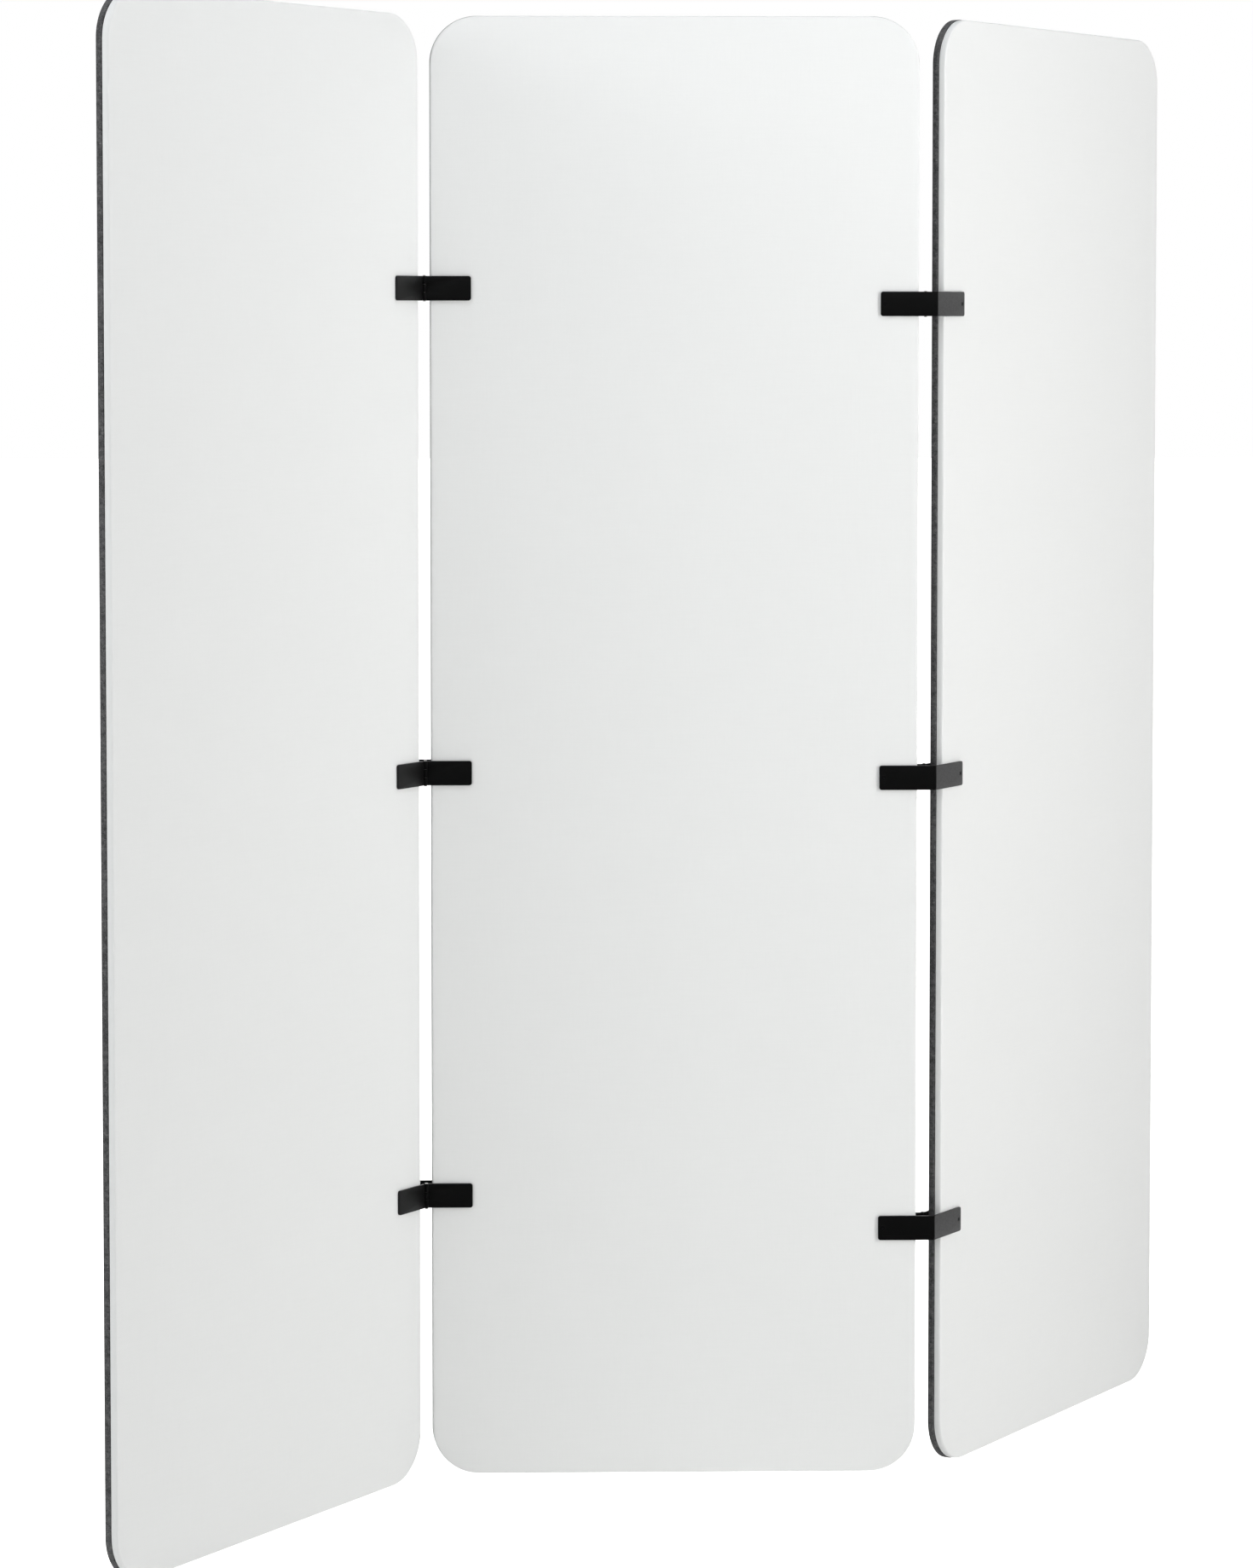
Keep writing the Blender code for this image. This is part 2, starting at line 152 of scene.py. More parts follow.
def makeWovenFabric():
    # plain weave: warp up and weft across, with slubbed threads of random tone and painted shade between the
    # threads
    material, tree, shader = newMaterial("wovenFabric")
    place = addNode(tree, "ShaderNodeTexCoord").outputs["Object"]
    wander = addNode(tree, "ShaderNodeTexNoise", {"Vector": place, "Scale": 60.0, "Detail": 1.0})
    reach = (wovenFabric["threadWander"],) * 3
    drift = addNode(tree, "ShaderNodeVectorMath", {0: wander.outputs["Color"], 1: reach},
                    operation="MULTIPLY").outputs[0]
    moved = addNode(tree, "ShaderNodeVectorMath", {0: place, 1: drift}, operation="ADD").outputs[0]
    parts = addNode(tree, "ShaderNodeSeparateXYZ", {"Vector": moved})
    turns = pi / wovenFabric["threadPitch"]
    across = addMath(tree, "ADD", parts.outputs["X"], parts.outputs["Y"])
    warp = addMath(tree, "SINE", addMath(tree, "MULTIPLY", across, turns))
    weft = addMath(tree, "SINE", addMath(tree, "MULTIPLY", parts.outputs["Z"], turns))
    over = addMath(tree, "MULTIPLY", warp, weft)
    threads = addMath(tree, "MAXIMUM", addMath(tree, "ABSOLUTE", warp), addMath(tree, "ABSOLUTE", weft))
    height = addMath(tree, "MULTIPLY_ADD", over, 0.35, threads)
    slubWarp = noiseValue(tree, 900.0, 2.0, 0.6, (1, 1, 0.03))
    slubWeft = noiseValue(tree, 900.0, 2.0, 0.6, (0.03, 0.03, 1))
    slub = addMath(tree, "ADD", slubWarp, slubWeft)
    # slub noise gives the threads a random tone; the weave height term is painted shade, darker in the hollows
    # between threads
    slubToneAndWeaveShade = addMath(tree, "MULTIPLY_ADD", slub, 0.5, addMath(tree, "MULTIPLY", height, 0.12))
    tone = rangeValue(tree, slubToneAndWeaveShade, 0.35, 0.75, 0.0, 1.0)
    colour = ramp(tree, tone, 0.0, 1.0, wovenFabric["shade"], wovenFabric["colour"])
    tree.links.new(colour, shader.inputs["Base Color"])
    smooth, rough = wovenFabric["roughness"]
    tree.links.new(rangeValue(tree, height, 0.4, 1.3, rough, smooth), shader.inputs["Roughness"])
    coarse = bumped(tree, slub, 0.2, wovenFabric["slubDepth"])
    tree.links.new(bumped(tree, height, 0.35, wovenFabric["weaveDepth"], coarse), shader.inputs["Normal"])
    shader.inputs["Specular IOR Level"].default_value = wovenFabric["specular"]
    shader.inputs["Sheen Weight"].default_value = wovenFabric["sheen"]
    shader.inputs["Sheen Roughness"].default_value = wovenFabric["sheenRoughness"]
    return material


greyFelt = {
    "dark": (0.04, 0.04, 0.042), "pale": (0.2, 0.2, 0.202), "roughness": (0.95, 0.85),
    "tuftDepth": 0.5 * mm, "fibreDepth": 0.25 * mm, "specular": 0.2, "sheen": 0.08, "sheenRoughness": 0.6,
}


def makeGreyFelt():
    # needled fibres: pale and dark fibres mixed, in short tangled streaks
    material, tree, shader = newMaterial("greyFelt")
    upright = noiseValue(tree, 900.0, 3.0, 0.7, (1, 1, 0.45))
    level = noiseValue(tree, 900.0, 3.0, 0.7, (0.45, 0.45, 1))
    tufts = noiseValue(tree, 140.0, 4.0, 0.65)
    clouds = noiseValue(tree, 9.0, 2.0, 0.5)
    fibres = addMath(tree, "MAXIMUM", upright, level)
    mixed = addMath(tree, "MULTIPLY", fibres, 0.55)
    mixed = addMath(tree, "ADD", mixed, addMath(tree, "MULTIPLY", tufts, 0.35))
    mixed = addMath(tree, "MULTIPLY_ADD", clouds, 0.1, mixed)
    flecksUpright = noiseValue(tree, 620.0, 1.0, 0.5, (1, 1, 0.3))
    flecksLevel = noiseValue(tree, 620.0, 1.0, 0.5, (0.3, 0.3, 1))
    flecks = addMath(tree, "MAXIMUM", flecksUpright, flecksLevel)
    mixed = addMath(tree, "ADD", mixed, rangeValue(tree, flecks, 0.66, 0.76, 0.0, 0.12))
    colour = ramp(tree, mixed, 0.44, 0.70, greyFelt["dark"], greyFelt["pale"])
    tree.links.new(colour, shader.inputs["Base Color"])
    coarse = bumped(tree, tufts, 0.5, greyFelt["tuftDepth"])
    tree.links.new(bumped(tree, fibres, 0.6, greyFelt["fibreDepth"], coarse), shader.inputs["Normal"])
    tree.links.new(rangeValue(tree, fibres, 0.4, 0.7, *greyFelt["roughness"]), shader.inputs["Roughness"])
    shader.inputs["Specular IOR Level"].default_value = greyFelt["specular"]
    shader.inputs["Sheen Weight"].default_value = greyFelt["sheen"]
    shader.inputs["Sheen Roughness"].default_value = greyFelt["sheenRoughness"]
    return material


powderCoat = {
    "colour": (0.0035, 0.0035, 0.0037), "worn": (0.006, 0.006, 0.006), "roughness": (0.38, 0.5),
    "peelDepth": 0.2 * mm, "gritDepth": 0.05 * mm, "refraction": 1.5, "specular": 0.32,
}


def makePowderCoat():
    # baked black powder: a fine orange peel under a satin gloss
    material, tree, shader = newMaterial("powderCoat")
    peel = noiseValue(tree, 700.0, 2.0, 0.5)
    grit = noiseValue(tree, 3200.0, 1.0, 0.5)
    colour = ramp(tree, grit, 0.35, 0.75, powderCoat["colour"], powderCoat["worn"])
    tree.links.new(colour, shader.inputs["Base Color"])
    tree.links.new(rangeValue(tree, peel, 0.3, 0.7, *powderCoat["roughness"]), shader.inputs["Roughness"])
    coarse = bumped(tree, peel, 0.18, powderCoat["peelDepth"])
    tree.links.new(bumped(tree, grit, 0.12, powderCoat["gritDepth"], coarse), shader.inputs["Normal"])
    shader.inputs["IOR"].default_value = powderCoat["refraction"]
    shader.inputs["Specular IOR Level"].default_value = powderCoat["specular"]
    return material


turnedSteel = {
    "colour": (0.62, 0.61, 0.59), "shade": (0.48, 0.475, 0.46), "roughness": (0.24, 0.38),
    "ringDepth": 0.03 * mm, "metallic": 0.55,
}


def makeTurnedSteel():
    # bright pin: fine rings left by turning
    material, tree, shader = newMaterial("turnedSteel")
    rings = noiseValue(tree, 2600.0, 2.0, 0.6, (0.05, 0.05, 1))
    colour = ramp(tree, rings, 0.3, 0.7, turnedSteel["shade"], turnedSteel["colour"])
    tree.links.new(colour, shader.inputs["Base Color"])
    tree.links.new(rangeValue(tree, rings, 0.3, 0.7, *turnedSteel["roughness"]), shader.inputs["Roughness"])
    tree.links.new(bumped(tree, rings, 0.1, turnedSteel["ringDepth"]), shader.inputs["Normal"])
    shader.inputs["Metallic"].default_value = turnedSteel["metallic"]
    return material


blackOxide = {
    "colour": (0.005, 0.005, 0.006), "bare": (0.03, 0.029, 0.028), "roughness": (0.34, 0.5),
    "mottleDepth": 0.05 * mm, "specular": 0.1,
}


def makeBlackOxide():
    # oiled black screw: a little bare metal shows in the mottling
    material, tree, shader = newMaterial("blackOxide")
    mottle = noiseValue(tree, 900.0, 3.0, 0.6)
    colour = ramp(tree, mottle, 0.5, 0.8, blackOxide["colour"], blackOxide["bare"])
    tree.links.new(colour, shader.inputs["Base Color"])
    tree.links.new(rangeValue(tree, mottle, 0.3, 0.7, *blackOxide["roughness"]), shader.inputs["Roughness"])
    tree.links.new(bumped(tree, mottle, 0.12, blackOxide["mottleDepth"]), shader.inputs["Normal"])
    shader.inputs["Specular IOR Level"].default_value = blackOxide["specular"]
    return material


finishes = {
    "fabric_white": makeWovenFabric(), "felt_grey": makeGreyFelt(), "steel_black": makePowderCoat(),
    "pin_steel": makeTurnedSteel(), "screw_black": makeBlackOxide(),
}
print("materials made")


def meshFrom(shape, name):
    bmesh.ops.recalc_face_normals(shape, faces=shape.faces)
    mesh = bpy.data.meshes.new(name)
    shape.to_mesh(mesh)
    shape.free()
    return mesh


def workPiece(name, mesh):
    piece = bpy.data.objects.new(name, mesh)
    bpy.context.scene.collection.objects.link(piece)
    return piece


def evaluatedMesh(piece):
    bpy.context.view_layer.update()
    graph = bpy.context.evaluated_depsgraph_get()
    final = piece.evaluated_get(graph)
    return bpy.data.meshes.new_from_object(final, preserve_all_data_layers=True, depsgraph=graph)


def cutWith(piece, cutter, operation="DIFFERENCE"):
    # applies one boolean and clears the cutter away
    boolean = piece.modifiers.new("cut", "BOOLEAN")
    boolean.operation = operation
    boolean.solver = "EXACT"
    boolean.object = cutter
    mesh = evaluatedMesh(piece)
    piece.modifiers.clear()
    piece.data = mesh
    bpy.data.objects.remove(cutter)


def rod(start, end, radius, endRadius=None, x=0.0, z=0.0, sides=48, upright=False):
    # closed cylinder or cone from start to end, along Y or upright
    shape = bmesh.new()
    turn = Matrix() if upright else Matrix.Rotation(-pi / 2, 4, "X")
    placing = Matrix.Translation((x, 0, z)) @ turn @ Matrix.Translation((0, 0, (start + end) / 2))
    bmesh.ops.create_cone(shape, cap_ends=True, segments=sides, radius1=radius,
                          radius2=radius if endRadius is None else endRadius, depth=end - start,
                          matrix=placing)
    return workPiece("cutter", meshFrom(shape, "cutter"))


def block(low, high):
    shape = bmesh.new()
    bmesh.ops.create_cube(shape, size=1)
    bmesh.ops.scale(shape, vec=[b - a for a, b in zip(low, high)], verts=shape.verts)
    bmesh.ops.translate(shape, vec=[(a + b) / 2 for a, b in zip(low, high)], verts=shape.verts)
    return workPiece("cutter", meshFrom(shape, "cutter"))


def arc(centreX, centreY, radius, start, end, steps):
    angles = [start + (end - start) * step / steps for step in range(steps + 1)]
    return [(centreX + radius * cos(angle), centreY + radius * sin(angle)) for angle in angles]


def extruded(outline, low, high):
    shape = bmesh.new()
    face = shape.faces.new([shape.verts.new((x, y, low)) for x, y in outline])
    raised = bmesh.ops.extrude_face_region(shape, geom=[face])["geom"]
    tops = [item for item in raised if isinstance(item, bmesh.types.BMVert)]
    bmesh.ops.translate(shape, vec=(0, 0, high - low), verts=tops)
    return shape


def roundPlateEnd(shape, farX, radius, steps):
    corners = [edge for edge in shape.edges
               if all(abs(vert.co.x - farX) < 1e-6 for vert in edge.verts)
               and abs(edge.verts[0].co.z - edge.verts[1].co.z) < 1e-6]
    bmesh.ops.bevel(shape, geom=corners, offset=radius, segments=steps, profile=0.5, affect="EDGES")


def showPiece(name, mesh, slotName, place, body, replaced, smoothAngle=40):
    mesh.materials.clear()
    mesh.materials.append(finishes[slotName])
    mesh.shade_smooth()
    mesh.set_sharp_from_angle(angle=radians(smoothAngle))
    piece = workPiece(name, mesh)
    piece.matrix_world = place
    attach(piece, body)
    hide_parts(*replaced)
    return piece


def mirroredMesh(mesh):
    shape = bmesh.new()
    shape.from_mesh(mesh)
    bmesh.ops.transform(shape, matrix=Matrix.Scale(-1, 4, (1, 0, 0)), verts=shape.verts)
    bmesh.ops.reverse_faces(shape, faces=shape.faces)
    copy = bpy.data.meshes.new(mesh.name + "Mirrored")
    shape.to_mesh(copy)
    shape.free()
    return copy


panelHalf = feltHigh.y
hardware = {
    "leafThickness": 2.5 * mm, "leafHeight": 30 * mm, "leafReach": 57 * mm, "leafCorner": 3 * mm,
    "faceGap": 0.3 * mm, "pivotProud": 0.55 * mm, "bendInner": 0.5 * mm, "stopGap": 0.4 * mm,
    "knuckleRadius": 2.4 * mm, "knuckleGap": 0.3 * mm, "knuckleClear": 0.4 * mm, "knuckleTangent": radians(68),
    "pinRadius": 1.2 * mm, "pinClear": 0.1 * mm, "pinHead": 2.0 * mm, "pinHeadHeight": 0.8 * mm,
    "screwFromEnd": 5.5 * mm, "bossRadius": 3.0 * mm,
    "screwRadius": 1.5 * mm, "screwClear": 0.15 * mm, "screwHead": 2.75 * mm, "screwHeadDepth": 1.5 * mm,
    "screwLength": 13 * mm, "socketRadius": 1.15 * mm, "socketDepth": 1.0 * mm, "spareBore": 1.5 * mm,
    "edgeRound": 0.28 * mm, "pinCrown": 0.3 * mm, "turnedLip": 0.12 * mm,
    "threadPitch": 0.5 * mm, "threadDepth": 0.16 * mm, "threadStart": 0.6 * mm, "threadEnd": 0.9 * mm,
    "screwTip": 0.4 * mm, "socketFlare": 0.3 * mm,
}
leafInner = panelHalf + hardware["faceGap"]
leafOuter = leafInner + hardware["leafThickness"]
pivotOffset = leafOuter + hardware["pivotProud"]
headPlane = pivotOffset + leafOuter
screwX = hardware["leafReach"] - hardware["screwFromEnd"]
boreRadius = hardware["screwRadius"] + hardware["screwClear"]


def roundEdges(mesh, width, steps=2, angle=30):
    # softens the sheared edges of a steel piece
    piece = workPiece("rounding", mesh)
    bevel = piece.modifiers.new("edges", "BEVEL")
    bevel.width = width
    bevel.segments = steps
    bevel.limit_method = "ANGLE"
    bevel.angle_limit = radians(angle)
    bevel.use_clamp_overlap = True
    rounded = evaluatedMesh(piece)
    bpy.data.objects.remove(piece)
    return rounded


def knuckleLeaf(onWing):
    h = hardware
    outer, inner = pivotOffset - leafOuter, pivotOffset - leafInner
    halfKnuckle = (h["leafHeight"] - 2 * h["knuckleGap"]) / 6
    clearRadius = h["knuckleRadius"] + h["knuckleClear"]
    barrel = arc(0, 0, h["knuckleRadius"], asin(outer / h["knuckleRadius"]), h["knuckleTangent"] - 2 * pi, 36)
    outline = [(h["leafReach"], outer), *barrel, (clearRadius, inner), (h["leafReach"], inner)]
    shape = extruded(outline, -h["leafHeight"] / 2, h["leafHeight"] / 2)
    roundPlateEnd(shape, h["leafReach"], h["leafCorner"], 8)
    leaf = workPiece("knuckleLeaf", meshFrom(shape, "knuckleLeaf"))
    gapEdge = halfKnuckle + h["knuckleGap"]
    spans = [(-gapEdge, gapEdge)]  # room for the other leaf's knuckles
    if onWing:
        spans = [(-h["leafHeight"], -halfKnuckle), (halfKnuckle, h["leafHeight"])]
    for low, high in spans:
        cutWith(leaf, block((-clearRadius, -clearRadius, low), (clearRadius, 2 * clearRadius, high)))
    leaf.data = roundEdges(leaf.data, h["edgeRound"])
    bossEnd = pivotOffset + leafInner - h["faceGap"]
    cutWith(leaf, rod((outer + inner) / 2, bossEnd, h["bossRadius"], x=screwX), "UNION")
    cutWith(leaf, rod(headPlane - h["screwLength"] - h["spareBore"], headPlane, boreRadius, x=screwX))
    cutWith(leaf, rod(-h["leafHeight"], h["leafHeight"], h["pinRadius"] + h["pinClear"], upright=True))
    mesh = leaf.data
    bpy.data.objects.remove(leaf)
    return mesh


def stopPlate():
    h = hardware
    outer, inner = pivotOffset + leafOuter, pivotOffset + leafInner
    halfFold = openFold / 2
    outerRadius = h["bendInner"] + h["leafThickness"]
    bendY = outer - outerRadius
    bendX = h["stopGap"] / 2 / cos(halfFold) - bendY * tan(halfFold)
    tip = arc(bendX, bendY, outerRadius, pi / 2, pi / 2 + halfFold, 14)
    tip += arc(bendX, bendY, h["bendInner"], pi / 2 + halfFold, pi / 2, 8)
    outline = [(h["leafReach"], outer), *tip, (h["leafReach"], inner)]
    shape = extruded(outline, -h["leafHeight"] / 2, h["leafHeight"] / 2)
    roundPlateEnd(shape, h["leafReach"], h["leafCorner"], 8)
    plate = workPiece("stopPlate", meshFrom(shape, "stopPlate"))
    plate.data = roundEdges(plate.data, h["edgeRound"])
    cutWith(plate, rod(inner - h["leafThickness"], outer, boreRadius, x=screwX))
    beyond = h["screwHeadDepth"] / 2
    flare = (h["screwHead"] - h["screwRadius"]) / 2
    cutWith(plate, rod(outer - h["screwHeadDepth"] - beyond, outer + beyond, boreRadius - flare,
                       h["screwHead"] + h["screwClear"] + flare, x=screwX))
    mesh = plate.data
    bpy.data.objects.remove(plate)
    return mesh


def turned(profile, name, steps=48):
    # turns a half profile of (radius, height) points about Z
    shape = bmesh.new()
    points = [shape.verts.new((radius, 0, height)) for radius, height in profile]
    edges = [shape.edges.new((first, second)) for first, second in zip(points, points[1:])]
    bmesh.ops.spin(shape, geom=points + edges, cent=(0, 0, 0), axis=(0, 0, 1), angle=2 * pi, steps=steps,
                   use_merge=True)
    bmesh.ops.remove_doubles(shape, verts=shape.verts, dist=1e-6)
    return meshFrom(shape, name)


def hingePin():
    h = hardware
    headLow = h["leafHeight"] / 2 + h["knuckleGap"]
    headHigh = headLow + h["pinHeadHeight"]
    crown, lip, steps = h["pinCrown"], h["turnedLip"], 8
    rim = headHigh - crown
    angles = [pi / 2 * step / steps for step in range(steps + 1)]
    dome = [(h["pinHead"] * sin(angle), rim + crown * cos(angle)) for angle in angles]
    foot = [(h["pinHead"], headLow + lip), (h["pinHead"] - lip, headLow), (h["pinRadius"], headLow)]
    upper = dome + foot
    profile = upper + [(radius, -height) for radius, height in reversed(upper)]
    return turned(profile, "hingePin")


def countersunkScrew():
    h = hardware
    neck = h["screwHeadDepth"]
    lip, tip, flare = h["turnedLip"], h["screwTip"], h["socketFlare"]
    pitch, depth = h["threadPitch"], h["threadDepth"]
    thread = []
    y = neck + h["threadStart"]
    while y < h["screwLength"] - h["threadEnd"]:  # shallow rings stand for the thread
        thread += [(h["screwRadius"], y), (h["screwRadius"] - depth, y + pitch / 2)]
        y += pitch
    profile = [(0, 0), (h["screwHead"] - lip, 0), (h["screwHead"], lip), (h["screwRadius"], neck), *thread,
               (h["screwRadius"], y), (h["screwRadius"], h["screwLength"] - tip),
               (h["screwRadius"] - tip, h["screwLength"]), (0, h["screwLength"])]
    mesh = turned([(radius, -depthBelow) for radius, depthBelow in profile], "countersunkScrew", 40)
    screw = workPiece("countersunkScrew", mesh)
    shape = bmesh.new()
    bmesh.ops.create_cone(shape, cap_ends=True, segments=6, radius1=h["socketRadius"],
                          radius2=h["socketRadius"], depth=2 * h["socketDepth"])
    cutWith(screw, workPiece("socket", meshFrom(shape, "socket")))
    mouth = bmesh.new()  # small chamfer round the socket
    bmesh.ops.create_cone(mouth, cap_ends=True, segments=40, radius1=h["socketRadius"] - flare,
                          radius2=h["socketRadius"] + flare, depth=2 * flare)
    cutWith(screw, workPiece("mouth", meshFrom(mouth, "mouth")))
    mesh = screw.data
    mesh.transform(Matrix.Translation((screwX, headPlane, 0)) @ Matrix.Rotation(-pi / 2, 4, "X"))
    bpy.data.objects.remove(screw)
    return mesh


leafCentre, leafWing = knuckleLeaf(False), mirroredMesh(knuckleLeaf(True))
plate, pin, screw = stopPlate(), hingePin(), countersunkScrew()
plateWing, screwWing = mirroredMesh(plate), mirroredMesh(screw)
for (side, level), height in heights.items():
    hinge = f"{side}_{level}"
    fixed, swinging = hingePlace(side, False, height), hingePlace(side, True, height)
    wing = side + "_wing"
    for part, mesh, slotName, place, body in (
        ("hinge_leaf_centre", leafCentre, "steel_black", fixed, "centre_panel"),
        ("hinge_leaf_wing", leafWing, "steel_black", swinging, wing),
        ("hinge_pin", pin, "pin_steel", fixed, "centre_panel"),
        ("stop_plate_centre", plate, "steel_black", fixed, "centre_panel"),
        ("stop_plate_wing", plateWing, "steel_black", swinging, wing),
        ("screw_centre", screw, "screw_black", fixed, "centre_panel"),
        ("screw_wing", screwWing, "screw_black", swinging, wing),
    ):
        showPiece(f"{hinge}_{part}_fine", mesh.copy(), slotName, place, body, [f"{hinge}_{part}"])
print("hinges made")

feltBoard = {"cornerRadius": 58 * mm, "edgeRound": 0.9 * mm, "cornerSteps": 28, "holeRadius": 3.3 * mm}
drillReach = 50 * mm  # well past both faces of a panel


def screwMarks(panel):
    # (x, z) of the screws through a panel, in the panel's own frame
    marks = []
    for (side, level), height in heights.items():
        fromEdge = screwX - (abs(pivots[side].x) - feltHigh.x)
        if panel == "centre":
            marks.append((sides[side] * (feltHigh.x - fromEdge), height))
        elif panel == side:
            marks.append((-sides[side] * (feltHigh.x - fromEdge), height))
    return marks


def roundedOutline(halfWidth, low, high, radius, steps):
    corners = [(halfWidth - radius, low + radius, -pi / 2), (halfWidth - radius, high - radius, 0),
               (-halfWidth + radius, high - radius, pi / 2), (-halfWidth + radius, low + radius, pi)]
    return [point for x, z, start in corners for point in arc(x, z, radius, start, start + pi / 2, steps)]


def feltMesh(panel):
    radius, steps = feltBoard["cornerRadius"], feltBoard["cornerSteps"]
    outline = roundedOutline(feltHigh.x, feltLow.z, feltHigh.z, radius, steps)
    shape = extruded(outline, feltLow.y, feltHigh.y)
    standUp = Matrix(((1, 0, 0, 0), (0, 0, 1, 0), (0, 1, 0, 0), (0, 0, 0, 1)))  # swaps Y and Z
    bmesh.ops.transform(shape, matrix=standUp, verts=shape.verts)
    mesh = roundEdges(meshFrom(shape, "feltBoard"), feltBoard["edgeRound"], 3, 60)
    board = workPiece("feltWork", mesh)
    for x, z in screwMarks(panel):
        cutWith(board, rod(-drillReach, drillReach, feltBoard["holeRadius"], x=x, z=z))
    mesh = board.data
    bpy.data.objects.remove(board)
    return mesh


for panel, body in panelBody.items():
    showPiece(f"{panel}_felt_board_fine", feltMesh(panel), "felt_grey", panelPlace(panel), body,
              [f"{panel}_panel_felt_board"], 50)
print("felt boards made")

fabricPad = {
    "step": 14 * mm, "cornerCells": 5, "edgeRadius": 2.2 * mm, "edgeSteps": 3, "backEdge": 0.8 * mm,
    "mostRise": 1.3 * mm, "pressure": 0.06, "frames": 20, "plateMargin": 12 * mm, "fill": 0.95,
}


def padGrid(halfWidth, low, high, radius, step):
    # columns and rows of a grid whose corners are drawn onto the rounded outline
    cells = fabricPad["cornerCells"]

    def cuts(first, last):
        inner = [first + radius * k / cells for k in range(cells)]
        count = max(2, round((last - first - 2 * radius) / step))
        middle = [first + radius + (last - first - 2 * radius) * k / count for k in range(count + 1)]
        return inner + middle + [last - radius * k / cells for k in range(cells - 1, -1, -1)]

    xs, zs = cuts(-halfWidth, halfWidth), cuts(low, high)
    rows = []
    for level in zs:
        row = []
        for x in xs:
            z = level
            signX, signZ = (1 if x > 0 else -1), (1 if z > (low + high) / 2 else -1)
            cornerX = halfWidth - radius
            cornerZ = (high - radius) if signZ > 0 else (low + radius)
            u, v = (abs(x) - cornerX) / radius, (z - cornerZ) / radius * signZ
            if u > 0 and v > 0:  # a square cell moved into the quarter circle
                x = signX * (cornerX + radius * u * sqrt(1 - v * v / 2))
                z = cornerZ + signZ * radius * v * sqrt(1 - u * u / 2)
            row.append((x, z))
        rows.append(row)
    return rows


def loopOf(rows):
    # vertex keys round the edge of a grid, in order
    last, end = len(rows) - 1, len(rows[0]) - 1
    return ([(0, c) for c in range(end)] + [(r, end) for r in range(last)]
            + [(last, c) for c in range(end, 0, -1)] + [(r, 0) for r in range(last, 0, -1)])


def padMesh(panel):
    p = fabricPad
    halfWidth, low, high = coverHigh.x, coverLow.z, coverHigh.z
    front, back = coverLow.y, coverHigh.y
    radius = feltBoard["cornerRadius"] - (feltHigh.x - coverHigh.x)
    edge = p["edgeRadius"]
    rows = padGrid(halfWidth - edge, low + edge, high - edge, radius - edge, p["step"])
    shape = bmesh.new()
    faces = {}
    for face, y in (("front", front), ("back", back)):
        faces[face] = [[shape.verts.new((x, y, z)) for x, z in row] for row in rows]
        grid = faces[face]
        for r in range(len(rows) - 1):
            for c in range(len(rows[0]) - 1):
                shape.faces.new((grid[r][c], grid[r][c + 1], grid[r + 1][c + 1], grid[r + 1][c]))
    loop = loopOf(rows)
    pinned = set()

    def ring(grow, y):
        made = []
        for r, c in loop:
            x, z = rows[r][c]
            cornerX = halfWidth - radius
            nearX = max(-cornerX, min(cornerX, x))
            nearZ = max(low + radius, min(high - radius, z))
            away = Vector((x - nearX, 0, z - nearZ))
            away = away.normalized() if away.length > 1e-9 else Vector((0, 0, 0))
            if abs(x) > halfWidth - edge - 1e-7 and away.length == 0:
                away = Vector((1 if x > 0 else -1, 0, 0))
            made.append(shape.verts.new((x + away.x * grow, y, z + away.z * grow)))
        pinned.update(made)
        return made

    rings = [[faces["front"][r][c] for r, c in loop]]
    for k in range(1, p["edgeSteps"] + 1):
        angle = pi / 2 * k / p["edgeSteps"]
        rings.append(ring(edge * sin(angle), front + edge * (1 - cos(angle))))
    backEdge = p["backEdge"]
    rings.append(ring(edge, back - backEdge))
    rings.append(ring(edge - backEdge * 0.3, back - backEdge * 0.3))
    rings.append([faces["back"][r][c] for r, c in loop])
    for first, second in zip(rings, rings[1:]):
        for k in range(len(loop)):
            n = (k + 1) % len(loop)
            shape.faces.new((first[k], first[n], second[n], second[k]))
    pinned.update(rings[0])
    pinned.update(vert for row in faces["back"] for vert in row)
    shape.verts.index_update()
    held = {vert.index for vert in pinned}
    return meshFrom(shape, panel + "Pad"), held


def plateZones(panel):
    # (x low, x high, z low, z high) under the steel on a panel's face
    zones = []
    margin = fabricPad["plateMargin"]
    for (side, level), height in heights.items():
        if panel not in ("centre", side):
            continue
        sign = sides[side] * (1 if panel == "centre" else -1)
        inboard = feltHigh.x - (hardware["leafReach"] - (abs(pivots[side].x) - feltHigh.x)) - margin
        ends = sorted((sign * inboard, sign * (feltHigh.x + margin)))
        halfZone = hardware["leafHeight"] / 2 + margin
        zones.append((*ends, height - halfZone, height + halfZone))
    return zones


